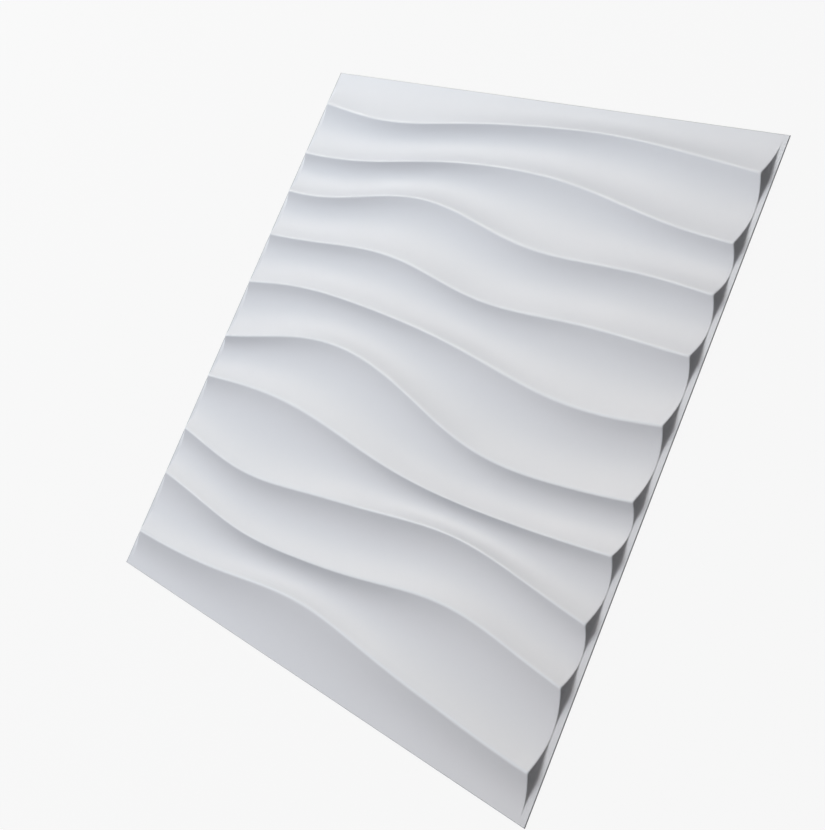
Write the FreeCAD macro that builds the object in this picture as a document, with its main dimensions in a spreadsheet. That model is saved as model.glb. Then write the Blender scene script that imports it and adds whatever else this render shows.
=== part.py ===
import FreeCAD, Part
import math
import os

# PVC wall panel with a wave relief, lying on its back with the waves up.
# Millimetres. X runs along the waves, Y across them, Z out of the face.
# The origin is under the middle of the panel, on the plane that its flange rests on.
#
# The real panel is one rigid PVC sheet, vacuum-formed over a mould and then trimmed square.
# It is built the same way: the relief is formed into an oversize blank, and a die trims it.

# Driving sizes in mm, draft in degrees
SIZES = {
    "panel_length": 500,
    "panel_width": 500,
    "sheet_gauge": 1,
    "wall_gauge": 0.8,
    "relief_height": 6.2,
    "valley_rise": 0.15,
    "end_flange": 5.5,
    "side_flange": 5.2,
    "wall_draft": 19,
    "wall_toe": 0.4,
    "rim_radius": 1,
    "foot_radius": 1,
    "crest_nose": 2,
}

# Mean widths of the eleven valleys, from the +Y edge to the -Y edge. They share out the panel's width.
VALLEYS = [31, 45, 43.5, 50, 48.5, 52, 48.5, 46, 47, 48, 40.5]

# The crests' lines, from the +Y edge. Each sways about its mean line in three cosine terms,
# which fit once, twice and three times into the panel's length, so that panels match side by side.
# A term is how far it sways and the X where it sways furthest towards +Y.
SWAYS = [
    [(9.5, 91), (1, -29), (0.5, -64)],
    [(12, 18), (0.5, 60), (0.5, -75)],
    [(9, -65), (5, -68), (0, 0)],
    [(6, -122), (3.5, -88), (0.5, -47)],
    [(11, -94), (2, 49), (0, 0)],
    [(20.5, -101), (2, -71), (0.5, 18)],
    [(9.5, -155), (1, -120), (0, 0)],
    [(13, 110), (0, 0), (1, -58)],
    [(12.5, 144), (1.5, 106), (1, -39)],
    [(9, -3), (1.5, -24), (0.5, -19)],
]
TERM_NAMES = ["swing", "ripple", "quiver"]

# Even steps along the length, between the rounded rims of the two end walls
LENGTH_STEPS = 24
# A rounded corner takes up at most this share of the wall that it ends
CORNER_LIMIT = 0.3
# The untrimmed blank reaches this far past the panel, and the die this far past the blank's faces
BLANK_MARGIN = 10
DIE_CLEARANCE = 1


def make_sheet(doc):
    """Puts every driving dimension in the spreadsheet, one a row, and returns the spreadsheet."""
    sheet = doc.addObject("Spreadsheet::Sheet", "sizes")
    values = dict(SIZES)
    for number, width in enumerate(VALLEYS, start=1):
        values["valley_%d_width" % number] = width
    for number, terms in enumerate(SWAYS, start=1):
        for name, (reach, place) in zip(TERM_NAMES, terms):
            values["crest_%d_%s" % (number, name)] = reach
            values["crest_%d_%s_place" % (number, name)] = place
    for row, (alias, value) in enumerate(values.items(), start=1):
        sheet.set("A%d" % row, alias)
        sheet.set("B%d" % row, str(value))
        sheet.setAlias("B%d" % row, alias)
    doc.recompute()
    return sheet


def mean_crest_lines(sheet):
    """Mean Y of every crest: the valleys' widths share out the panel's width."""
    widths = [sheet.get("valley_%d_width" % (index + 1)) for index in range(len(VALLEYS))]
    fit = sheet.panel_width / sum(widths)
    lines = []
    y = sheet.panel_width / 2
    for width in widths[:-1]:
        y -= width * fit
        lines.append(y)
    return lines


def crest_y(sheet, number, mean_y, x):
    """Y of one crest at x: its mean line and its cosine terms."""
    y = mean_y
    for times, name in enumerate(TERM_NAMES, start=1):
        reach = sheet.get("crest_%d_%s" % (number, name))
        place = sheet.get("crest_%d_%s_place" % (number, name))
        y += reach * math.cos(2 * math.pi * times * (x - place) / sheet.panel_length)
    return y


class WaveNet:
    """The net of control points that the front and the back of the relief share.

    Across the panel, a row of points along each crest alternates with a row along each valley, and
    the quadratic surface over them has rounded crests and hollow valleys that meet without an edge.
    Along the panel, the net's last columns turn down over the end walls and out onto the flange.
    """

    def __init__(self, sheet):
        self.sheet = sheet
        self.mean_lines = mean_crest_lines(sheet)
        self.set_crest_rounding()
        self.set_end_wall()

    def set_crest_rounding(self):
        """Knot spans across, and the heights of the crest and valley rows above the flange's top."""
        sheet = self.sheet
        wave_height = sheet.relief_height - sheet.valley_rise
        mean_valley = sheet.panel_width / len(VALLEYS)
        flank = math.hypot(mean_valley / 2, 2 * wave_height)
        self.nose_share = sheet.crest_nose / flank
        self.valley_span = (1 - self.nose_share) / self.nose_share
        self.half_share = 1 / (1 + self.valley_span / 2)
        self.crest_row_z = sheet.valley_rise + wave_height * (1 + self.nose_share)
        self.valley_row_z = self.crest_row_z - 2 * wave_height

    def set_end_wall(self):
        """Places and knot spans of the end wall's columns. The spans suit the relief's full height."""
        sheet = self.sheet
        draft = math.radians(sheet.wall_draft)
        self.wall_lean = math.tan(draft)
        self.back_inset = (sheet.wall_gauge - sheet.sheet_gauge * math.sin(draft)) / math.cos(draft)
        wall_length = sheet.relief_height / math.cos(draft)
        half_corner = (math.pi / 2 + draft) / 2
        leg_per_radius = math.cos(half_corner) / math.sin(half_corner) ** 2
        rim_leg = min(sheet.rim_radius * leg_per_radius, CORNER_LIMIT * wall_length)
        foot_leg = min(sheet.foot_radius * leg_per_radius, CORNER_LIMIT * wall_length)
        self.border_x = (sheet.panel_length - sheet.side_flange) / 2
        self.foot_x = sheet.panel_length / 2 - sheet.side_flange
        self.rim_x = self.foot_x - sheet.wall_toe - self.wall_lean * sheet.relief_height
        self.even_end = self.rim_x - rim_leg
        self.rim_span = 2 * rim_leg
        self.wall_span = wall_length - 2 * rim_leg
        self.foot_span = foot_leg * self.wall_span / (wall_length / 2 - foot_leg)

    def knots_along(self):
        """Knots along X: even steps, then the spans of rim, wall, foot and flange at both ends."""
        step = 2 * self.even_end / LENGTH_STEPS
        knots = [-self.even_end + step * index for index in range(LENGTH_STEPS + 1)]
        for span in (self.rim_span, self.wall_span, self.foot_span, self.foot_span):
            knots = [knots[0] - span] + knots + [knots[-1] + span]
        return knots

    def knots_across(self):
        """Knots across: half a valley, then crests one unit wide between whole valleys."""
        knots = [0, self.valley_span / 2]
        for index in range(len(self.mean_lines)):
            knots.append(knots[-1] + 1)
            last = index == len(self.mean_lines) - 1
            knots.append(knots[-1] + self.valley_span / (2 if last else 1))
        return knots

    def even_stations(self):
        """X of the net's columns between the end walls: the middle of each even step."""
        step = 2 * self.even_end / LENGTH_STEPS
        return [-self.even_end + step * (index + 0.5) for index in range(LENGTH_STEPS)]

    def rows_at(self, x):
        """Y and height above the flange's top of every row of the net at x, from -Y to +Y."""
        border_y = self.sheet.panel_width / 2 - self.sheet.end_flange
        crests = [crest_y(self.sheet, number, mean, x) for number, mean in enumerate(self.mean_lines, start=1)]
        crests.reverse()
        rows = [(-border_y, 0), (self.half_valley_y(-border_y, crests[0]), 0)]
        for crest, following in zip(crests, crests[1:]):
            rows.append((crest, self.crest_row_z))
            rows.append(((crest + following) / 2, self.valley_row_z))
        rows.append((crests[-1], self.crest_row_z))
        rows += [(self.half_valley_y(border_y, crests[-1]), 0), (border_y, 0)]
        return rows

    def half_valley_y(self, border_y, crest):
        """Y of the row that shapes the half valley between the flange and the outermost crest."""
        return (border_y + (1 - self.half_share) * crest) / (2 - self.half_share)

    def end_column(self, side, inset, part):
        """One column of the end wall: its rim, middle, foot, flange or border, on side -1 or +1.

        The foot is straight. The wall leans in from it over its toe and then by its draft.
        """
        points = []
        foot = self.foot_x - inset
        for y, z in self.rows_at(side * self.rim_x):
            rim = foot - self.sheet.wall_toe - self.wall_lean * z
            places = {
                "rim": (rim, z),
                "wall": ((rim + foot) / 2, z / 2),
                "foot": (foot, 0),
                "flange": ((foot + self.border_x) / 2, 0),
                "border": (self.border_x, 0),
            }
            x, height = places[part]
            points.append(FreeCAD.Vector(side * x, y, height))
        return points

    def skin(self, level, inset):
        """The face over the net, with the flange at level and the end walls moved in by inset."""
        parts = ["rim", "wall", "foot", "flange", "border"]
        columns = [self.end_column(-1, inset, part) for part in reversed(parts)]
        for x in self.even_stations():
            columns.append([FreeCAD.Vector(x, y, z) for y, z in self.rows_at(x)])
        columns += [self.end_column(1, inset, part) for part in parts]
        lift = FreeCAD.Vector(0, 0, level)
        poles = [[point + lift for point in column] for column in columns]
        along = self.knots_along()
        across = self.knots_across()
        surface = Part.BSplineSurface()
        surface.buildFromPolesMultsKnots(
            poles, end_multiplicities(along), end_multiplicities(across), along, across, False, False, 2, 2
        )
        return surface.toShape()


def end_multiplicities(knots):
    """A quadratic's knots count once, apart from the first and last, which count three times."""
    return [3] + [1] * (len(knots) - 2) + [3]


def flange_ring(sheet, skin, level):
    """The blank's flat flange at one level, from its outer edge to the edge of the relief."""
    half_length = sheet.panel_length / 2 + BLANK_MARGIN
    half_width = sheet.panel_width / 2 + BLANK_MARGIN
    corners = [
        FreeCAD.Vector(x * half_length, y * half_width, level)
        for x, y in ((-1, -1), (1, -1), (1, 1), (-1, 1), (-1, -1))
    ]
    return Part.makeFace([Part.makePolygon(corners), skin.OuterWire], "Part::FaceMakerBullseye")


def formed_blank(sheet):
    """The oversize blank after forming: front and back of the relief, flat flange and edges."""
    net = WaveNet(sheet)
    front = net.skin(sheet.sheet_gauge, 0)
    back = net.skin(0, net.back_inset)
    front_ring = flange_ring(sheet, front, sheet.sheet_gauge)
    back_ring = flange_ring(sheet, back, 0)
    rise = FreeCAD.Vector(0, 0, sheet.sheet_gauge)
    edges = [edge.extrude(rise) for edge in back_ring.OuterWire.Edges]
    shell = Part.makeShell([front, back, front_ring, back_ring] + edges)
    shell.sewShape()
    solid = Part.makeSolid(shell)
    if solid.Volume < 0:
        solid.reverse()
    return solid


def build_panel(doc, sheet):
    """Forms the blank and trims it square; returns the finished sheet."""
    blank = doc.addObject("Part::Feature", "formed_blank")
    blank.Label = "formed_blank"
    blank.Shape = formed_blank(sheet)

    die = doc.addObject("Part::Box", "trim_die")
    die.Label = "trim_die"
    die.setExpression("Length", "sizes.panel_length")
    die.setExpression("Width", "sizes.panel_width")
    die.setExpression("Height", "sizes.relief_height + sizes.sheet_gauge + %g" % (2 * DIE_CLEARANCE))
    die.setExpression("Placement.Base.x", "-sizes.panel_length / 2")
    die.setExpression("Placement.Base.y", "-sizes.panel_width / 2")
    die.setExpression("Placement.Base.z", "%g" % -DIE_CLEARANCE)

    panel = doc.addObject("Part::Common", "formed_sheet")
    panel.Label = "formed_sheet"
    panel.Base = blank
    panel.Tool = die
    return panel


def check(doc, pieces):
    """Stops before anything is written if an object failed or a piece isn't one valid solid."""
    for item in doc.Objects:
        if "Invalid" in item.State or "Error" in item.State:
            raise RuntimeError("%s did not compute: %s" % (item.Label, item.State))
    for piece in pieces:
        if piece.Shape.isNull() or not piece.Shape.isValid():
            raise RuntimeError("%s has no valid shape" % piece.Label)
        if len(piece.Shape.Solids) != 1:
            raise RuntimeError("%s is not one solid" % piece.Label)


def main():
    doc = FreeCAD.newDocument("wall_panel")
    sheet = make_sheet(doc)
    pieces = [build_panel(doc, sheet)]
    doc.recompute()
    check(doc, pieces)
    os.makedirs("parts", exist_ok=True)
    for piece in pieces:
        piece.Shape.exportStep("parts/%s.step" % piece.Label)
        print(piece.Label, "volume mm3", round(piece.Shape.Volume), "box", piece.Shape.BoundBox)


main()
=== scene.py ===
"""Dresses, lights and frames a vacuum-formed PVC wall panel with a relief of swaying waves.

Metres, in the part's own frame: X runs along the waves, Y across them, Z out of the face, and the panel
lies with its flange on the floor plane.
"""

import logging
import math
from dataclasses import dataclass, field
from enum import Enum, IntEnum

import bmesh
import bpy
import numpy as np
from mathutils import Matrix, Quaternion, Vector


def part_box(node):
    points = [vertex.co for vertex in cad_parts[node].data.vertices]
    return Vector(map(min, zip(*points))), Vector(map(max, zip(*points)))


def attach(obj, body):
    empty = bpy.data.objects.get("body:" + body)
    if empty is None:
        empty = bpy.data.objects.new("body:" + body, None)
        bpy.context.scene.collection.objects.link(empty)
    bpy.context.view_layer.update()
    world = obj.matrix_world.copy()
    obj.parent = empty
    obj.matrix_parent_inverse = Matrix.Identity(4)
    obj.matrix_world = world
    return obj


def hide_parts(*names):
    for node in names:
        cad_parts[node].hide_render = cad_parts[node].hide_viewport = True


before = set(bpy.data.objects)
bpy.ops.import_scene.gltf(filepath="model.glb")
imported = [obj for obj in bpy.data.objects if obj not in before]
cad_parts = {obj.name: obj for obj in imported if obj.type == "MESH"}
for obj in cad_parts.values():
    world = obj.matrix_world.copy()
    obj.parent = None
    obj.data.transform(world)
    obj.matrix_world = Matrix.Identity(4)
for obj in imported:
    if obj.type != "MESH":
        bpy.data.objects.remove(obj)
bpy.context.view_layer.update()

LOG = logging.getLogger("wall_panel")
MM = 0.001
PANEL_NODE = "formed_sheet"
# The middle of whatever runs from 0 to 1, such as a noise pattern or a drift of colour
MIDDLE = 0.5
Colour = tuple[float, float, float] | bpy.types.NodeSocket


class Signal:
    """A number that a shader works out. Plain arithmetic on it adds the Math nodes."""

    def __init__(self, shader: "Shader", socket: bpy.types.NodeSocket) -> None:
        """Keeps the shader and the output socket that carries the number."""
        self.shader = shader
        self.socket = socket

    def _math(self, operation: str, first: "Signal | float", second: "Signal | float") -> "Signal":
        """Adds one Math node.

        Args:
            operation: The Math node's operation.
            first: Its first value.
            second: Its second value.

        Returns:
            The node's result.
        """
        made = self.shader.node("ShaderNodeMath", {"operation": operation}, {0: first, 1: second})
        return Signal(self.shader, made.outputs[0])

    def __add__(self, other: "Signal | float") -> "Signal":
        """Sum of this and another value."""
        return self._math("ADD", self, other)

    def __radd__(self, other: float) -> "Signal":
        """Sum of a number and this."""
        return self._math("ADD", other, self)

    def __sub__(self, other: "Signal | float") -> "Signal":
        """This less another value."""
        return self._math("SUBTRACT", self, other)

    def __rsub__(self, other: float) -> "Signal":
        """A number less this."""
        return self._math("SUBTRACT", other, self)

    def __mul__(self, other: "Signal | float") -> "Signal":
        """Product of this and another value."""
        return self._math("MULTIPLY", self, other)

    def __rmul__(self, other: float) -> "Signal":
        """Product of a number and this."""
        return self._math("MULTIPLY", other, self)

    def larger(self, other: "Signal | float") -> "Signal":
        """The larger of this and another value."""
        return self._math("MAXIMUM", self, other)


class Shader:
    """The node tree of one material, or of the world."""

    def __init__(self, owner: str | bpy.types.World) -> None:
        """Makes an empty node tree with its output node.

        Args:
            owner: The name of a new material, or the world.
        """
        is_world = isinstance(owner, bpy.types.World)
        self.owner = owner if is_world else bpy.data.materials.new(owner)
        self.owner.use_nodes = True
        self.tree = self.owner.node_tree
        self.tree.nodes.clear()
        self.output = self.tree.nodes.new("ShaderNodeOutputWorld" if is_world else "ShaderNodeOutputMaterial")

    def node(
        self,
        kind: str,
        settings: dict[str, object] | None = None,
        values: dict[str | int, object] | None = None,
    ) -> bpy.types.Node:
        """Adds one node of any type.

        Args:
            kind: The node's type, such as ShaderNodeTexNoise.
            settings: The node's own properties, which are set first.
            values: A plain value, or a Signal or socket to link, for each input by name or index.

        Returns:
            The new node.
        """
        made = self.tree.nodes.new(kind)
        for name, setting in (settings or {}).items():
            setattr(made, name, setting)
        for name, value in (values or {}).items():
            if isinstance(value, Signal):
                self.tree.links.new(value.socket, made.inputs[name])
            elif isinstance(value, bpy.types.NodeSocket):
                self.tree.links.new(value, made.inputs[name])
            else:
                made.inputs[name].default_value = value
        return made

    def place(self, stretch: tuple[float, float, float] = (1, 1, 1)) -> bpy.types.NodeSocket:
        """Object coordinates in metres, scaled along each axis.

        Args:
            stretch: The factor for X, Y and Z.

        Returns:
            The socket with the scaled coordinates.
        """
        place = self.node("ShaderNodeTexCoord").outputs["Object"]
        scaled = self.node("ShaderNodeVectorMath", {"operation": "MULTIPLY"}, {0: place, 1: stretch})
        return scaled.outputs[0]

    def along(self, run: tuple[float, float, float]) -> Signal:
        """How far a point lies along a direction.

        Args:
            run: The direction, whose length is how much the value gains in each metre.

        Returns:
            The value, which is 0 at the origin.
        """
        place = self.node("ShaderNodeTexCoord").outputs["Object"]
        product = self.node("ShaderNodeVectorMath", {"operation": "DOT_PRODUCT"}, {0: place, 1: run})
        return Signal(self, product.outputs["Value"])

    def noise(
        self, place: bpy.types.NodeSocket, size: float, detail: float, roughness: float = 0.5
    ) -> Signal:
        """Soft random pattern from 0 to 1.

        Args:
            place: Coordinates in metres.
            size: Width of a typical blotch in metres.
            detail: Octaves of finer noise on top.
            roughness: How strong each finer octave is.

        Returns:
            The pattern.
        """
        values = {"Vector": place, "Scale": 1 / size, "Detail": detail, "Roughness": roughness}
        return Signal(self, self.node("ShaderNodeTexNoise", {}, values).outputs["Fac"])

    def attribute(self, name: str) -> Signal:
        """A number that the mesh carries on its points."""
        return Signal(self, self.node("ShaderNodeAttribute", {"attribute_name": name}).outputs["Fac"])

    def blend(self, amount: Signal, first: Colour, second: Colour) -> bpy.types.NodeSocket:
        """Mixes two colours.

        Args:
            amount: 0 for the first colour and 1 for the second.
            first: The first colour.
            second: The second colour.

        Returns:
            The socket with the mixed colour.
        """
        # The Mix node's colour sockets share their names with its others, so they go by index
        values = {0: amount, 6: self.opaque(first), 7: self.opaque(second)}
        return self.node("ShaderNodeMix", {"data_type": "RGBA"}, values).outputs[2]

    @staticmethod
    def opaque(colour: Colour) -> tuple[float, float, float, float] | bpy.types.NodeSocket:
        """A colour with full alpha added. A socket stays as it is."""
        return colour if isinstance(colour, bpy.types.NodeSocket) else (*colour, 1)

    def seen_rays(self) -> Signal:
        """The rays that show a surface to the eye, straight, mirrored or through glass.

        Returns:
            1 for those rays and 0 for all others.
        """
        rays = self.node("ShaderNodeLightPath").outputs
        straight = Signal(self, rays["Is Camera Ray"])
        mirrored = Signal(self, rays["Is Glossy Ray"])
        return straight.larger(mirrored).larger(Signal(self, rays["Is Transmission Ray"]))

    def bump(self, height: Signal, distance: float, strength: float) -> bpy.types.NodeSocket:
        """Turns a height from 0 to 1 into a bumped normal.

        Args:
            height: The height.
            distance: How many metres a height of 1 stands for.
            strength: How much of the bump shows.

        Returns:
            The socket with the normal.
        """
        values = {"Height": height, "Distance": distance, "Strength": strength}
        return self.node("ShaderNodeBump", {}, values).outputs["Normal"]

    def finish(self, surface: bpy.types.Node) -> bpy.types.Material | bpy.types.World:
        """Links the surface to the output and hands over the material or the world."""
        self.tree.links.new(surface.outputs[0], self.output.inputs["Surface"])
        return self.owner


@dataclass(frozen=True)
class MouldedPvc:
    """White rigid PVC sheet as it leaves the mould: satin, even, a trace of grain from the rolls.

    Its tint drifts slowly from cool at -X +Y to warm at +X -Y, which is a painted tint of the light. It is
    darker towards -X and -Y, painted shade of the light's fall-off. The tops of the crests and the rim at +X
    are a little paler and glossier, and more so towards -Y: the paler tone is a painted highlight. The -X
    border is darker, painted shade along that edge. All of this was fitted to the photograph's shading. A run
    is how much a drift gains in each metre along X, Y and Z, and a gloss is how much the roughness changes.
    """

    # The drift from the warm colour to the cool one is a painted tint of the light, cool at -X +Y
    cool_colour: tuple[float, float, float] = (0.762, 0.806, 0.882)
    warm_colour: tuple[float, float, float] = (0.834, 0.806, 0.806)
    drift_run: tuple[float, float, float] = (-0.95, 1.05, 0)
    # Painted shade: the sheet darkens towards -X and -Y to stand in for the light's fall-off
    falloff_shade_colour: tuple[float, float, float] = (0.679, 0.686, 0.723)
    falloff_shade_run: tuple[float, float, float] = (-0.9, -0.9, 0)
    drawn_colour: tuple[float, float, float] = (0.755, 0.775, 0.812)
    # Painted highlight: the crest tops and the +X rim are paler, more so towards -Y
    painted_highlight_colour: tuple[float, float, float] = (0.835, 0.85, 0.88)
    # Painted shade: a darker band along the -X border, from where it starts and over how far it eases in
    painted_edge_shade_colour: tuple[float, float, float] = (0.48, 0.495, 0.52)
    edge_shade_start: float = 248.3 * MM
    edge_shade_ease: float = 0.4 * MM
    roughness: float = 0.46
    highlight_gloss: float = 0.09
    highlight_share: float = 0.82
    highlight_run: tuple[float, float, float] = (0, -1.1, 0)
    mottle_gloss: float = 0.08
    drawn_gloss: float = 0.06
    roll_gloss: float = 0.05
    mottle_size: float = 55 * MM
    mottle_detail: float = 3
    mottle_share: float = 0.25
    roll_line_size: float = 1.6 * MM
    roll_line_detail: float = 3
    roll_line_squeeze: float = 0.03
    roll_share: float = 0.3
    peel_size: float = 1.1 * MM
    peel_detail: float = 2
    peel_coarseness: float = 0.6
    peel_height: float = 0.012 * MM
    peel_strength: float = 0.6
    refraction: float = 1.53

    def material(self) -> bpy.types.Material:
        """Makes the material of the formed faces."""
        shader = Shader("moulded_pvc")
        stretch = shader.attribute("stretch")
        # The mask of the painted highlight on the crests and the +X rim, which also lowers the roughness
        # there
        painted_highlight_and_gloss = shader.attribute("painted_highlight_and_gloss") * (self.highlight_share + shader.along(self.highlight_run))
        mottle = shader.noise(shader.place(), self.mottle_size, self.mottle_detail)
        lengthwise = shader.place((self.roll_line_squeeze, 1, 1))
        rolls = shader.noise(lengthwise, self.roll_line_size, self.roll_line_detail)
        peel = shader.noise(shader.place(), self.peel_size, self.peel_detail, self.peel_coarseness)
        unevenness = stretch * (1 - self.mottle_share) + mottle * self.mottle_share
        # Painted tint of the light, from warm at +X -Y to cool at -X +Y
        drift = MIDDLE + shader.along(self.drift_run)
        # Painted shade of the light's fall-off, darkest at the -X -Y corner
        painted_falloff_shade = MIDDLE + shader.along(self.falloff_shade_run)
        tinted = shader.blend(drift, self.warm_colour, self.cool_colour)
        body = shader.blend(painted_falloff_shade, tinted, self.falloff_shade_colour)
        drawn = shader.blend(unevenness, body, self.drawn_colour)
        # Painted highlight along the crest tops and the +X rim
        highlighted = shader.blend(painted_highlight_and_gloss, drawn, self.painted_highlight_colour)
        # Painted shade along the -X border
        painted_edge_shade = (shader.along((-1, 0, 0)) - self.edge_shade_start) * (1 / self.edge_shade_ease)
        tone = shader.blend(painted_edge_shade, highlighted, self.painted_edge_shade_colour)
        matt = self.roughness + (mottle - MIDDLE) * self.mottle_gloss + (rolls - MIDDLE) * self.roll_gloss
        gloss = matt + stretch * self.drawn_gloss - painted_highlight_and_gloss * self.highlight_gloss
        grain = peel * (1 - self.roll_share) + rolls * self.roll_share
        normal = shader.bump(grain, self.peel_height, self.peel_strength)
        values = {"Base Color": tone, "Roughness": gloss, "Normal": normal, "IOR": self.refraction}
        return shader.finish(shader.node("ShaderNodeBsdfPrincipled", {}, values))


@dataclass(frozen=True)
class TrimmedPvc:
    """The same PVC where the trimming die cut it: duller, darker in part as painted shade, with fine shear
    marks through the thickness.
    """

    # Painted shade in part: the cut face is a darker grey than the sheet, so that it reads as a dark line
    colour: tuple[float, float, float] = (0.54, 0.55, 0.57)
    marked_colour: tuple[float, float, float] = (0.44, 0.45, 0.47)
    roughness: float = 0.62
    mark_gloss: float = 0.2
    mark_size: float = 0.35 * MM
    mark_detail: float = 2
    mark_squeeze: float = 0.08
    mark_height: float = 0.03 * MM
    mark_strength: float = 0.5
    refraction: float = 1.53

    def material(self) -> bpy.types.Material:
        """Makes the material of the cut edge."""
        shader = Shader("trimmed_pvc")
        marks = shader.noise(shader.place((1, 1, self.mark_squeeze)), self.mark_size, self.mark_detail)
        values = {
            "Base Color": shader.blend(marks, self.colour, self.marked_colour),
            "Roughness": self.roughness + (marks - MIDDLE) * self.mark_gloss,
            "Normal": shader.bump(marks, self.mark_height, self.mark_strength),
            "IOR": self.refraction,
        }
        return shader.finish(shader.node("ShaderNodeBsdfPrincipled", {}, values))


@dataclass(frozen=True)
class PaleFloor:
    """A plain floor that the camera sees as an even pale grey, with the object's shadow left on it."""

    seen_colour: tuple[float, float, float] = (0.947, 0.947, 0.947)
    shadow_share: float = 0.05
    true_colour: tuple[float, float, float] = (0.15, 0.15, 0.15)

    def material(self) -> bpy.types.Material:
        """Makes the floor's material: even to the eye, plainly diffuse to the light that it returns."""
        shader = Shader("pale_floor")
        shadow_colour = tuple(channel * self.shadow_share for channel in self.seen_colour)
        even_values = {"Color": shader.opaque(self.seen_colour), "Strength": 1 - self.shadow_share}
        even = shader.node("ShaderNodeEmission", {}, even_values)
        shadow = shader.node("ShaderNodeBsdfDiffuse", {}, {"Color": shader.opaque(shadow_colour)})
        seen = shader.node("ShaderNodeAddShader", {}, {0: even.outputs[0], 1: shadow.outputs[0]})
        plain = shader.node("ShaderNodeBsdfDiffuse", {}, {"Color": shader.opaque(self.true_colour)})
        values = {0: shader.seen_rays(), 1: plain.outputs[0], 2: seen.outputs[0]}
        return shader.finish(shader.node("ShaderNodeMixShader", {}, values))


@dataclass(frozen=True)
class WavePattern:
    """The lines that the crests follow, in mm.

    The valleys' mean widths, from the +Y edge to the -Y edge, share out the panel's width. Each crest
    sways about its mean line in up to three cosine terms, which fit once, twice and three times into the
    panel's length. A term is how far it sways and the X where it sways furthest towards +Y.
    """

    valleys: tuple[float, ...] = (31, 45, 43.5, 50, 48.5, 52, 48.5, 46, 47, 48, 40.5)
    sways: tuple[tuple[tuple[float, float], ...], ...] = (
        ((9.5, 91), (1, -29), (0.5, -64)),
        ((12, 18), (0.5, 60), (0.5, -75)),
        ((9, -65), (5, -68)),
        ((6, -122), (3.5, -88), (0.5, -47)),
        ((11, -94), (2, 49)),
        ((20.5, -101), (2, -71), (0.5, 18)),
        ((9.5, -155), (1, -120)),
        ((13, 110), (0, 0), (1, -58)),
        ((12.5, 144), (1.5, 106), (1, -39)),
        ((9, -3), (1.5, -24), (0.5, -19)),
    )

    def crests(self, x: float, length: float, width: float) -> list[float]:
        """Y of every crest at one X.

        Args:
            x: Place along the panel in metres.
            length: The panel's length in metres.
            width: The panel's width in metres.

        Returns:
            Y in metres, from -Y to +Y.
        """
        fit = width / sum(self.valleys)
        lines = []
        mean = width / 2
        for valley, terms in zip(self.valleys, self.sways):
            mean -= valley * fit
            sway = sum(
                reach * MM * math.cos(2 * math.pi * times * (x - place * MM) / length)
                for times, (reach, place) in enumerate(terms, start=1)
            )
            lines.append(mean + sway)
        return lines[::-1]


class WallPart(Enum):
    """The columns of the net that turn down over an end wall, in order from the relief outwards."""

    RIM = "rim"
    WALL = "wall"
    FOOT = "foot"
    FLANGE = "flange"
    BORDER = "border"


@dataclass(frozen=True)
class WallFoot:
    """How an end wall runs out onto the flange, sizes in metres.

    The foot line stands out by the spread, and runs askew to the cut edge by the skew at either end. The
    cove reaches a share of the way from the foot to the flat border, whose width is a share of the
    flange's.
    """

    spread: float = 0
    skew: float = 0
    reach: float = 0.5
    flat_share: float = 0.5


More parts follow.
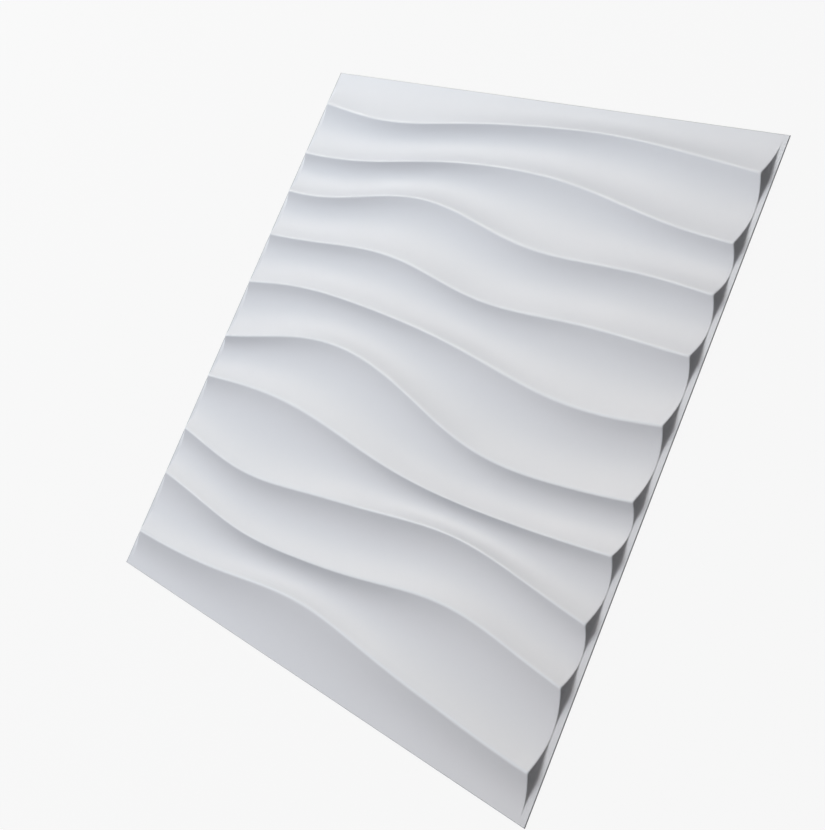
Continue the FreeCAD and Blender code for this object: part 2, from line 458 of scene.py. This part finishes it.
@dataclass
class Relief:
    """The formed relief as a net of control points under a quadratic surface, sizes in metres.

    Rows of the net along the crests alternate with rows along the valleys. The net's last columns
    turn down over the drafted end walls and out onto the flange. The flank that faces -Y below each
    crest is sunk, by at most a share of its height, the hollow.
    """

    length: float
    width: float
    relief_height: float
    pattern: WavePattern = field(default_factory=WavePattern)
    valley_rise: float = 0.15 * MM
    end_flange: float = 5.5 * MM
    side_flange: float = 5.2 * MM
    wall_draft: float = math.radians(19)
    wall_toe: float = 0.4 * MM
    rim_radius: float = 1 * MM
    foot_radius: float = 1.5 * MM
    crest_nose: float = 2 * MM
    hollow: float = 0.2
    plain_foot: WallFoot = WallFoot()
    coved_foot: WallFoot = WallFoot(spread=0.35 * MM, skew=0.7 * MM, reach=0.9, flat_share=0.15)
    even_steps: int = 24
    corner_limit: float = 0.3

    def __post_init__(self) -> None:
        """Works out row heights, the end walls' places and knot spans, each from the ones before."""
        wave_height = self.relief_height - self.valley_rise
        flank = math.hypot(self.width / len(self.pattern.valleys) / 2, 2 * wave_height)
        nose_share = self.crest_nose / flank
        self.valley_span = (1 - nose_share) / nose_share
        self.half_share = 1 / (1 + self.valley_span / 2)
        self.crest_row_z = self.valley_rise + wave_height * (1 + nose_share)
        self.valley_row_z = self.crest_row_z - 2 * wave_height
        self.wall_lean = math.tan(self.wall_draft)
        wall_length = self.relief_height / math.cos(self.wall_draft)
        half_corner = (math.pi / 2 + self.wall_draft) / 2
        leg_per_radius = math.cos(half_corner) / math.sin(half_corner) ** 2
        rim_leg = min(self.rim_radius * leg_per_radius, self.corner_limit * wall_length)
        foot_leg = min(self.foot_radius * leg_per_radius, self.corner_limit * wall_length)
        self.border_y = self.width / 2 - self.end_flange
        self.foot_x = self.length / 2 - self.side_flange
        self.rim_x = self.foot_x - self.wall_toe - self.wall_lean * self.relief_height
        self.even_end = self.rim_x - rim_leg
        self.rim_span = 2 * rim_leg
        self.wall_span = wall_length - 2 * rim_leg
        self.foot_span = foot_leg * self.wall_span / (wall_length / 2 - foot_leg)

    def knots_along(self) -> list[float]:
        """Knots along X: even steps, then the spans of rim, wall, foot and flange at both ends."""
        knots = list(np.linspace(-self.even_end, self.even_end, self.even_steps + 1))
        for span in (self.rim_span, self.wall_span, self.foot_span, self.foot_span):
            knots = [knots[0] - span, *knots, knots[-1] + span]
        return knots

    def knots_across(self) -> list[float]:
        """Knots across: half a valley, then crests one unit wide between whole valleys."""
        count = len(self.pattern.sways)
        spans = [self.valley_span / 2] + [1, self.valley_span] * (count - 1) + [1, self.valley_span / 2]
        return [0, *np.cumsum(spans)]

    def crest_spans(self) -> list[tuple[float, float]]:
        """Where each crest starts and ends among the knots across."""
        knots = self.knots_across()
        return list(zip(knots[1::2], knots[2::2]))

    def rim_span_high(self) -> tuple[float, float]:
        """Where the rim at +X starts and ends among the knots along X."""
        return self.even_end, self.even_end + self.rim_span

    def half_valley_y(self, border_y: float, crest: float) -> float:
        """Y of the row that shapes the half valley between the flange and the outermost crest.

        Args:
            border_y: Y where the flange starts.
            crest: Y of the outermost crest.

        Returns:
            The row's Y.
        """
        return (border_y + (1 - self.half_share) * crest) / (2 - self.half_share)

    def rows(self, x: float) -> np.ndarray:
        """The net's rows at one X.

        Args:
            x: Place along the panel.

        Returns:
            Y and height above the flange's top of each row, from -Y to +Y.
        """
        crests = self.pattern.crests(x, self.length, self.width)
        rows = [(-self.border_y, 0), (self.half_valley_y(-self.border_y, crests[0]), 0)]
        for crest, following in zip(crests, crests[1:]):
            rows.append((crest, self.crest_row_z))
            rows.append(((crest + following) / 2, self.valley_row_z))
        rows.append((crests[-1], self.crest_row_z))
        rows += [(self.half_valley_y(self.border_y, crests[-1]), 0), (self.border_y, 0)]
        return np.array(rows)

    def wall_column(self, part: WallPart, side: int, inset: float) -> np.ndarray:
        """One column of the net over an end wall.

        Args:
            part: Which column.
            side: -1 for the plain wall at -X, or +1 for the coved one at +X.
            inset: How far the wall stands in from the front's.

        Returns:
            A point for each row.
        """
        y, z = self.rows(side * self.rim_x).T
        run_out = self.coved_foot if side > 0 else self.plain_foot
        foot = self.foot_x + run_out.spread - inset + run_out.skew * y / self.border_y
        rim = foot - run_out.spread - self.wall_toe - self.wall_lean * z
        border = np.full_like(y, self.length / 2 - self.side_flange * run_out.flat_share)
        flat = np.zeros_like(z)
        x, height = {
            WallPart.RIM: (rim, z),
            WallPart.WALL: ((rim + foot) / 2, z / 2),
            WallPart.FOOT: (foot, flat),
            WallPart.FLANGE: (foot + (border - foot) * run_out.reach, flat),
            WallPart.BORDER: (border, flat),
        }[part]
        return np.stack([side * x, y, height], axis=1)

    def net(self, inset: float) -> np.ndarray:
        """The whole net, columns first, with heights above the flange.

        Args:
            inset: How far the end walls stand in from the front's.

        Returns:
            An array of columns by rows by X, Y and Z.
        """
        step = 2 * self.even_end / self.even_steps
        columns = [self.wall_column(part, -1, inset) for part in reversed(WallPart)]
        for index in range(self.even_steps):
            x = -self.even_end + step * (index + MIDDLE)
            rows = self.rows(x)
            columns.append(np.insert(rows, 0, x, axis=1))
        columns += [self.wall_column(part, 1, inset) for part in WallPart]
        return np.array(columns)

    def hollowing(self, surface: np.ndarray, even: np.ndarray) -> np.ndarray:
        """How much the sheet is sunk on the flank that faces -Y below each crest, most at mid panel.

        Args:
            surface: Points of the formed surface, columns first, with heights above the flange.
            even: Which columns lie between the two rims. The end walls sink as their rims do.

        Returns:
            The factor of each point's height: 1 at full height, and least on the valley floors.
        """
        middle = surface[even]
        height = middle[..., 2]
        hollow = self.hollow * np.cos(math.pi * middle[..., 1] / self.width) ** 2
        faces_low = np.gradient(height, axis=1) > 0
        factor = np.where(faces_low, 1 - hollow * (1 - height / self.relief_height), 1)
        before = int(np.argmax(even))
        after = len(even) - before - len(height)
        return np.pad(factor, ((before, after), (0, 0)), mode="edge")


def quadratic_weights(knots: list[float], places: np.ndarray, end_margin: float = 1e-12) -> np.ndarray:
    """Weights of a quadratic's control points at each place along it.

    Args:
        knots: The knots, each once. The first and last are taken as threefold.
        places: Where to evaluate, between the first knot and the last.
        end_margin: The share of the whole length that keeps the last place inside the last span.

    Returns:
        An array of places by control points.
    """
    full = np.array([knots[0]] * 2 + list(knots) + [knots[-1]] * 2)
    places = np.clip(places, knots[0], knots[-1] - end_margin * (knots[-1] - knots[0]))
    weights = ((full[:-1] <= places[:, None]) & (places[:, None] < full[1:])).astype(float)
    for degree in (1, 2):
        rise = full[degree:] - full[:-degree]
        rise = np.where(rise > 0, rise, 1)
        left = (places[:, None] - full[:-degree]) / rise
        grown = weights * left[:, : weights.shape[1]]
        fallen = weights * (1 - left[:, : weights.shape[1]])
        weights = grown[:, :-1] + fallen[:, 1:]
    return weights


class Finish(IntEnum):
    """The material slots of the panel's mesh."""

    FORMED = 0
    CUT = 1


@dataclass
class FormedSheet:
    """The panel: one PVC sheet with its relief, flat flange, hollow back and cut edge, sizes in metres.

    The cuts are how many faces lie between two knots of the relief. The edge line is a line of the mesh
    just inside the rounded cut edge, which keeps the flange flat.
    """

    relief: Relief
    gauge: float = 1 * MM
    wall_gauge: float = 0.8 * MM
    edge_round: float = 0.45 * MM
    edge_line: float = 0.55 * MM
    edge_segments: int = 2
    round_profile: float = 0.5
    sharp_angle: float = math.radians(50)
    highlight_focus: int = 4
    highlight_rise: int = 2
    even_cuts: int = 7
    rim_cuts: int = 8
    wall_cuts: int = 4
    foot_cuts: int = 5
    flange_cuts: int = 2
    crest_cuts: int = 8
    valley_cuts: int = 12

    def places_along(self) -> np.ndarray:
        """Where the mesh has its columns, between the relief's knots along X."""
        ends = [self.flange_cuts, self.foot_cuts, self.wall_cuts, self.rim_cuts]
        cuts = ends + [self.even_cuts] * self.relief.even_steps + ends[::-1]
        return self.spread(self.relief.knots_along(), cuts)

    def places_across(self) -> np.ndarray:
        """Where the mesh has its rows, between the relief's knots across."""
        count = len(self.relief.pattern.sways)
        half = self.valley_cuts // 2
        cuts = [half] + [self.crest_cuts, self.valley_cuts] * (count - 1) + [self.crest_cuts, half]
        return self.spread(self.relief.knots_across(), cuts)

    @staticmethod
    def spread(knots: list[float], cuts: list[int]) -> np.ndarray:
        """Divides each span between two knots evenly.

        Args:
            knots: The knots.
            cuts: Into how many pieces each span goes.

        Returns:
            All the dividing places, the first and last knot included.
        """
        pieces = [np.linspace(a, b, count, endpoint=False) for a, b, count in zip(knots, knots[1:], cuts)]
        return np.append(np.concatenate(pieces), knots[-1])

    def edge_margins(self) -> tuple[float, float]:
        """How far in from the cut edge the mesh's two outermost lines run, from outside in."""
        return 0, self.edge_line

    def back_inset(self) -> float:
        """How far in the back of an end wall stands, so that the drafted wall has its own gauge."""
        draft = self.relief.wall_draft
        return (self.wall_gauge - self.gauge * math.sin(draft)) / math.cos(draft)

    def skin(self, level: float, inset: float) -> np.ndarray:
        """The front or the back as a grid of points, out to the cut edge.

        Args:
            level: Height of the flat flange.
            inset: How far the end walls stand in from the front's.

        Returns:
            An array of columns by rows by X, Y and Z.
        """
        along = quadratic_weights(self.relief.knots_along(), self.places_along())
        across = quadratic_weights(self.relief.knots_across(), self.places_across())
        inner = np.einsum("ui,vj,ijc->uvc", along, across, self.relief.net(inset))
        inner[..., 2] *= self.relief.hollowing(inner, np.abs(self.places_along()) <= self.relief.even_end)
        inner[..., 2] += level
        margins = self.edge_margins()
        lines = (len(margins), len(margins))
        grid = np.pad(inner, (lines, lines, (0, 0)), mode="edge")
        ends = np.array([[-1], [1]])
        for line, margin in enumerate(margins):
            grid[[line, -1 - line], :, 0] = ends * (self.relief.length / 2 - margin)
            grid[:, [line, -1 - line], 1] = ends.T * (self.relief.width / 2 - margin)
        return grid

    def painted_highlight_and_gloss(self, front: np.ndarray) -> np.ndarray:
        """How strongly each point of the front carries the painted highlight and gloss: along the crests and
        the +X rim.

        Args:
            front: The front's grid of points.

        Returns:
            A value from 0 to 1 for each point, in the grid's order.
        """
        crest = self.bulge(self.places_across(), self.relief.crest_spans())
        rim = self.bulge(self.places_along(), [self.relief.rim_span_high()])
        share = np.maximum(crest[None, :], rim[:, None])
        lines = len(self.edge_margins())
        height = (front[lines:-lines, lines:-lines, 2] - self.gauge) / self.relief.relief_height
        return np.pad(share * height**self.highlight_rise, lines).ravel()

    def bulge(self, places: np.ndarray, spans: list[tuple[float, float]]) -> np.ndarray:
        """A smooth hump over each span.

        Args:
            places: Where to evaluate.
            spans: The start and end of each hump.

        Returns:
            0 outside the spans and 1 in the middle of each, for each place.
        """
        humps = np.zeros_like(places)
        for start, end in spans:
            share = np.clip((places - start) / (end - start), 0, 1)
            humps += np.sin(np.pi * share) ** self.highlight_focus
        return humps

    def mesh(self) -> bpy.types.Mesh:
        """Joins front, back and cut edge into one closed mesh and rounds the cut edge's corners.

        Returns:
            The mesh, with its faces sorted into formed and cut ones.
        """
        front = self.skin(self.gauge, 0)
        back = self.skin(0, self.back_inset())
        count = front.shape[0] * front.shape[1]
        index = np.arange(count).reshape(front.shape[:2])
        around = [index[:-1, :-1], index[1:, :-1], index[1:, 1:], index[:-1, 1:]]
        quads = np.stack(around, axis=-1).reshape(-1, 4)
        outline = np.concatenate([index[:-1, 0], index[-1, :-1], index[:0:-1, -1], index[0, :0:-1]])
        ahead = np.roll(outline, -1)
        edge = np.stack([ahead, outline, outline + count, ahead + count], axis=-1)
        faces = np.concatenate([quads, quads[:, ::-1] + count, edge])
        points = np.concatenate([front.reshape(-1, 3), back.reshape(-1, 3)])
        mesh = bpy.data.meshes.new(PANEL_NODE)
        mesh.from_pydata(points.tolist(), [], faces.tolist())
        # The mask of the painted highlight and gloss on the crests and the +X rim
        painted_highlight_and_gloss = mesh.attributes.new("painted_highlight_and_gloss", "FLOAT", "POINT")
        painted_highlight_and_gloss.data.foreach_set("value", np.append(self.painted_highlight_and_gloss(front), np.zeros(count)))
        slots = np.full(len(faces), Finish.FORMED, dtype=np.int32)
        slots[-len(edge) :] = Finish.CUT
        mesh.polygons.foreach_set("material_index", slots)
        self.round_cut_edge(mesh)
        return mesh

    def round_cut_edge(self, mesh: bpy.types.Mesh) -> None:
        """Rounds the two long corners that run round the cut edge."""
        work = bmesh.new()
        work.from_mesh(mesh)
        between = [Finish.FORMED, Finish.CUT]
        corners = [
            edge for edge in work.edges if sorted(face.material_index for face in edge.link_faces) == between
        ]
        bmesh.ops.bevel(
            work,
            geom=corners,
            offset=self.edge_round,
            segments=self.edge_segments,
            profile=self.round_profile,
            affect="EDGES",
            material=Finish.CUT,
        )
        work.to_mesh(mesh)
        work.free()

    def build(self) -> bpy.types.Object:
        """Makes the panel's object, with how far each point is stretched stored on its mesh.

        Returns:
            The dressed object, riding on the root body in place of its CAD node.
        """
        mesh = self.mesh()
        mesh.materials.append(MouldedPvc().material())
        mesh.materials.append(TrimmedPvc().material())
        mesh.shade_smooth()
        mesh.set_sharp_from_angle(angle=self.sharp_angle)
        normals = np.empty(len(mesh.vertices) * 3)
        mesh.vertices.foreach_get("normal", normals)
        stretch = mesh.attributes.new("stretch", "FLOAT", "POINT")
        stretch.data.foreach_set("value", 1 - np.abs(normals[2::3]))
        panel = bpy.data.objects.new("wave_panel", mesh)
        bpy.context.scene.collection.objects.link(panel)
        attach(panel, "root")
        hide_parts(PANEL_NODE)
        return panel


@dataclass(frozen=True)
class Lamp:
    """A soft square lamp that faces the panel's middle.

    Its azimuth from +X and its elevation are in degrees, its distance and size in metres and its power in
    watts.
    """

    name: str
    azimuth: float
    elevation: float
    distance: float
    size: float
    power: float
    colour: tuple[float, float, float] = (1, 1, 1)

    def hang(self) -> bpy.types.Object:
        """Makes the lamp, hidden from the camera.

        Returns:
            The lamp's object.
        """
        light = bpy.data.lights.new(self.name, "AREA")
        light.shape = "SQUARE"
        light.size = self.size
        light.energy = self.power
        light.color = self.colour
        lamp = bpy.data.objects.new(self.name, light)
        turn, lift = math.radians(self.azimuth), math.radians(self.elevation)
        towards = Vector((math.cos(turn) * math.cos(lift), math.sin(turn) * math.cos(lift), math.sin(lift)))
        lamp.location = towards * self.distance
        lamp.rotation_mode = "QUATERNION"
        lamp.rotation_quaternion = towards.to_track_quat("Z", "Y")
        lamp.visible_camera = False
        bpy.context.scene.collection.objects.link(lamp)
        return lamp


@dataclass
class Studio:
    """The plain floor, a weak sky that is brighter on the left, and the lamps, sizes in metres."""

    floor_size: float = 30.0
    floor_gap: float = 0.0002
    sky_even: float = 0.07
    sky_left: float = 0.4
    sky_seen: tuple[float, float, float] = (0.93, 0.93, 0.93)
    lamps: tuple[Lamp, ...] = (
        Lamp("key_softbox", 150, 45, 4.2, 2.2, 62.0, (1.0, 0.975, 0.898)),
        Lamp("low_key_softbox", 150, 30, 4.2, 2.2, 29.5, (1.0, 0.975, 0.898)),
        Lamp("left_softbox", 180, 45, 4.2, 2.2, 38.4, (0.706, 0.863, 1.0)),
        Lamp("lower_left_softbox", 210, 45, 4.2, 2.2, 28.5, (0.947, 0.912, 1.0)),
        Lamp("top_softbox", 120, 30, 2.5, 1.3, 7.52, (1.0, 0.939, 0.926)),
    )

    def lay_floor(self) -> bpy.types.Object:
        """Makes the floor just under the panel.

        Returns:
            The floor's object.
        """
        half = self.floor_size / 2
        corners = [(x * half, y * half, -self.floor_gap) for x, y in ((-1, -1), (1, -1), (1, 1), (-1, 1))]
        mesh = bpy.data.meshes.new("floor")
        mesh.from_pydata(corners, [], [(0, 1, 2, 3)])
        mesh.materials.append(PaleFloor().material())
        floor = bpy.data.objects.new("floor", mesh)
        bpy.context.scene.collection.objects.link(floor)
        return floor

    def light_sky(self) -> None:
        """Gives the world a weak light from the left, and shows it to the eye as the floor's pale grey."""
        world = bpy.data.worlds.new("sky")
        bpy.context.scene.world = world
        shader = Shader(world)
        place = shader.node("ShaderNodeTexCoord").outputs["Generated"]
        towards_left = -1 * Signal(shader, shader.node("ShaderNodeSeparateXYZ", {}, {0: place}).outputs["X"])
        strength = self.sky_even + self.sky_left * towards_left.larger(0)
        light = shader.node("ShaderNodeBackground", {}, {"Color": (1, 1, 1, 1), "Strength": strength})
        seen = shader.node("ShaderNodeBackground", {}, {"Color": shader.opaque(self.sky_seen), "Strength": 1})
        values = {0: shader.seen_rays(), 1: light.outputs[0], 2: seen.outputs[0]}
        shader.finish(shader.node("ShaderNodeMixShader", {}, values))

    def build(self) -> list[bpy.types.Object]:
        """Lays the floor, lights the sky and hangs every lamp.

        Returns:
            The floor and the lamps.
        """
        self.light_sky()
        return [self.lay_floor()] + [lamp.hang() for lamp in self.lamps]


@dataclass
class PhotoCamera:
    """The camera at the photograph's angle, looking down on the lying panel.

    Location, aim and the clip distances are in metres, the roll in degrees and the sensor in mm. The
    photograph is 825 by 830 pixels. If the panel is square, and it is taken to be, its outline puts the
    lens axis above the picture's middle, on the axis row, which the shift reproduces.
    """

    location: tuple[float, float, float] = (0.7745, -0.0477, 0.7916)
    aim: tuple[float, float, float] = (-0.0709, 0.1176, 0.0)
    roll: float = 59.56
    focal_pixels: float = 1361.9
    long_side_pixels: float = 830.0
    axis_row: float = 229.5
    sensor: float = 36.0
    nearest: float = 0.05
    farthest: float = 100.0

    def build(self) -> bpy.types.Object:
        """Makes the camera and hands it to the scene.

        Returns:
            The camera's object.
        """
        data = bpy.data.cameras.new("photo_camera")
        data.sensor_width = self.sensor
        data.lens = self.focal_pixels * self.sensor / self.long_side_pixels
        data.shift_y = (self.axis_row - self.long_side_pixels / 2) / self.long_side_pixels
        data.clip_start = self.nearest
        data.clip_end = self.farthest
        camera = bpy.data.objects.new("photo_camera", data)
        camera.location = self.location
        sight = Vector(self.aim) - Vector(self.location)
        level = sight.to_track_quat("-Z", "Y")
        camera.rotation_mode = "QUATERNION"
        camera.rotation_quaternion = level @ Quaternion((0, 0, 1), math.radians(-self.roll))
        bpy.context.scene.collection.objects.link(camera)
        bpy.context.scene.camera = camera
        return camera


def main() -> None:
    """Builds the camera, the studio and the panel in order, and reports each."""
    logging.basicConfig(level=logging.INFO, format="%(name)s: %(message)s")
    bpy.context.scene.view_settings.view_transform = "Standard"
    low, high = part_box(PANEL_NODE)
    sheet = FormedSheet(Relief(high.x - low.x, high.y - low.y, high.z - low.z - FormedSheet.gauge))
    LOG.info("camera: %s", PhotoCamera().build().name)
    for item in Studio().build():
        LOG.info("studio: %s", item.name)
    panel = sheet.build()
    LOG.info("panel: %s, %d faces", panel.name, len(panel.data.polygons))


if __name__ == "__main__":
    main()
